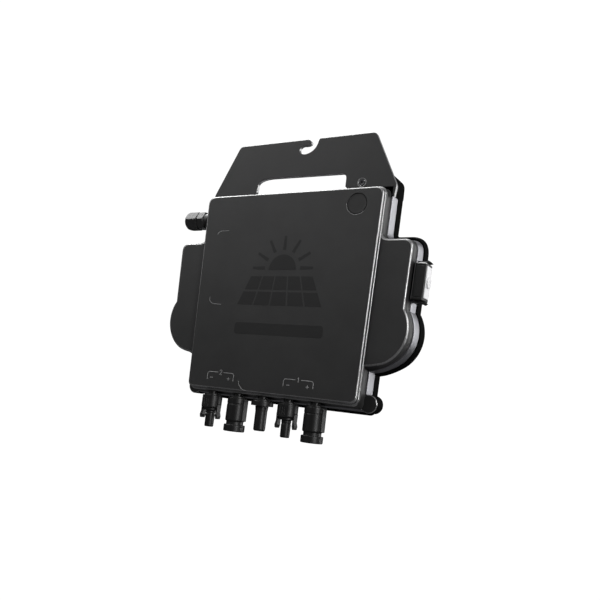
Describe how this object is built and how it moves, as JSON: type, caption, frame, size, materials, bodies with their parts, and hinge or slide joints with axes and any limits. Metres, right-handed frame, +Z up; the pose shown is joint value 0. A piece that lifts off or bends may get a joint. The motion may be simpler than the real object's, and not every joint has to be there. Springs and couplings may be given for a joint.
{
  "type": "micro inverter",
  "caption": "Flat sealed micro inverter with side lobes, hung from a sloped steel bracket with a handle window and bolt hook, with connectors along its lower edge.",
  "frame": {"origin": "middle of the mounting bracket's rear face, where a rail clamps it", "axes": "+Z up, +X to the right seen from the front panel, front panel faces -Y, +Y out of the bracket's rear face"},
  "size_m": [0.272, 0.0412, 0.2885],
  "materials": {
    "cover_black": "satin powder coat",
    "tray_black": "satin paint",
    "cast_frame": "satin cast",
    "black_plastic": "moulded, satin",
    "seal_rubber": "matt",
    "label_metal": "brushed",
    "bracket_metal": "satin powder coat",
    "plated_steel": "zinc plated",
    "cap_grey": "satin",
    "copper": "bare metal",
    "ferrite": "matt",
    "board": "solder mask",
    "spreader": "rolled sheet",
    "can": "sleeved can"
  },
  "bodies": {
    "inverter": {"front_cover": "cover_black", "cover_seal": "seal_rubber", "gland_seal": "seal_rubber", "gland_blanking_pin": "seal_rubber", "ac_port_seal": "seal_rubber", "mid_frame": "cast_frame", "rear_tray": "tray_black", "recess_disc": "black_plastic", "gland_body": "black_plastic", "gland_locknut": "black_plastic", "ac_port_housing": "black_plastic", "antenna_base": "black_plastic", "antenna_sleeve": "black_plastic", "radio_board_header": "black_plastic", "relay": "black_plastic", "dc_plug_1_body": "black_plastic", "dc_socket_1_body": "black_plastic", "dc_socket_1_contact": "plated_steel", "dc_plug_2_body": "black_plastic", "dc_socket_2_body": "black_plastic", "dc_socket_2_contact": "plated_steel", "rear_label": "label_metal", "mounting_bracket": "bracket_metal", "ground_insert": "plated_steel", "bracket_screw_left": "plated_steel", "bracket_screw_right": "plated_steel", "closing_screw_1": "plated_steel", "closing_screw_2": "plated_steel", "closing_screw_3": "plated_steel", "closing_screw_4": "plated_steel", "closing_screw_5": "plated_steel", "closing_screw_6": "plated_steel", "filter_choke": "copper", "transformer_coil_left": "copper", "transformer_coil_right": "copper", "ac_contact_1": "copper", "ac_contact_2": "copper", "ac_contact_3": "copper", "transformer_core_left": "ferrite", "transformer_core_right": "ferrite", "circuit_board": "board", "radio_board": "board", "heat_spreader": "spreader", "capacitor_1": "can", "capacitor_2": "can", "capacitor_3": "can", "capacitor_4": "can"},
    "gland_nut": {"gland_nut": "black_plastic"},
    "ac_port_cap": {"ac_port_cap": "cap_grey"},
    "ac_latch_lower": {"ac_port_latch_lower": "black_plastic"},
    "ac_latch_upper": {"ac_port_latch_upper": "black_plastic"},
    "dc_plug_1_latch_left": {"dc_plug_1_latch_left": "black_plastic"},
    "dc_plug_1_latch_right": {"dc_plug_1_latch_right": "black_plastic"},
    "dc_plug_2_latch_left": {"dc_plug_2_latch_left": "black_plastic"},
    "dc_plug_2_latch_right": {"dc_plug_2_latch_right": "black_plastic"}
  },
  "joints": [
    {"name": "gland_nut_spin", "type": "hinge", "parent": "inverter", "child": "gland_nut", "pos_m": [-0.119, -0.0085, -0.056], "axis": [1, 0, 0], "continuous": true},
    {"name": "ac_port_cap_pull", "type": "slide", "parent": "inverter", "child": "ac_port_cap", "axis": [0.999, 0, -0.045], "range_m": [0, 0.02]},
    {"name": "ac_port_latch_lower_flex", "type": "hinge", "parent": "inverter", "child": "ac_latch_lower", "pos_m": [0.1271, 0.001, -0.13404], "axis": [0, 1, 0], "range_deg": [0, 10], "stiffness_Nm_per_rad": 0.02},
    {"name": "ac_port_latch_upper_flex", "type": "hinge", "parent": "inverter", "child": "ac_latch_upper", "pos_m": [0.12867, 0.001, -0.09907], "axis": [0, -1, 0], "range_deg": [0, 10], "stiffness_Nm_per_rad": 0.02},
    {"name": "dc_plug_1_latch_left_flex", "type": "hinge", "parent": "inverter", "child": "dc_plug_1_latch_left", "pos_m": [-0.0753, -0.0075, -0.241], "axis": [0, -1, 0], "range_deg": [0, 5], "stiffness_Nm_per_rad": 0.02},
    {"name": "dc_plug_1_latch_right_flex", "type": "hinge", "parent": "inverter", "child": "dc_plug_1_latch_right", "pos_m": [-0.0577, -0.0075, -0.241], "axis": [0, 1, 0], "range_deg": [0, 5], "stiffness_Nm_per_rad": 0.02},
    {"name": "dc_plug_2_latch_left_flex", "type": "hinge", "parent": "inverter", "child": "dc_plug_2_latch_left", "pos_m": [0.0106, -0.0075, -0.241], "axis": [0, -1, 0], "range_deg": [0, 5], "stiffness_Nm_per_rad": 0.02},
    {"name": "dc_plug_2_latch_right_flex", "type": "hinge", "parent": "inverter", "child": "dc_plug_2_latch_right", "pos_m": [0.0282, -0.0075, -0.241], "axis": [0, 1, 0], "range_deg": [0, 5], "stiffness_Nm_per_rad": 0.02}
  ]
}
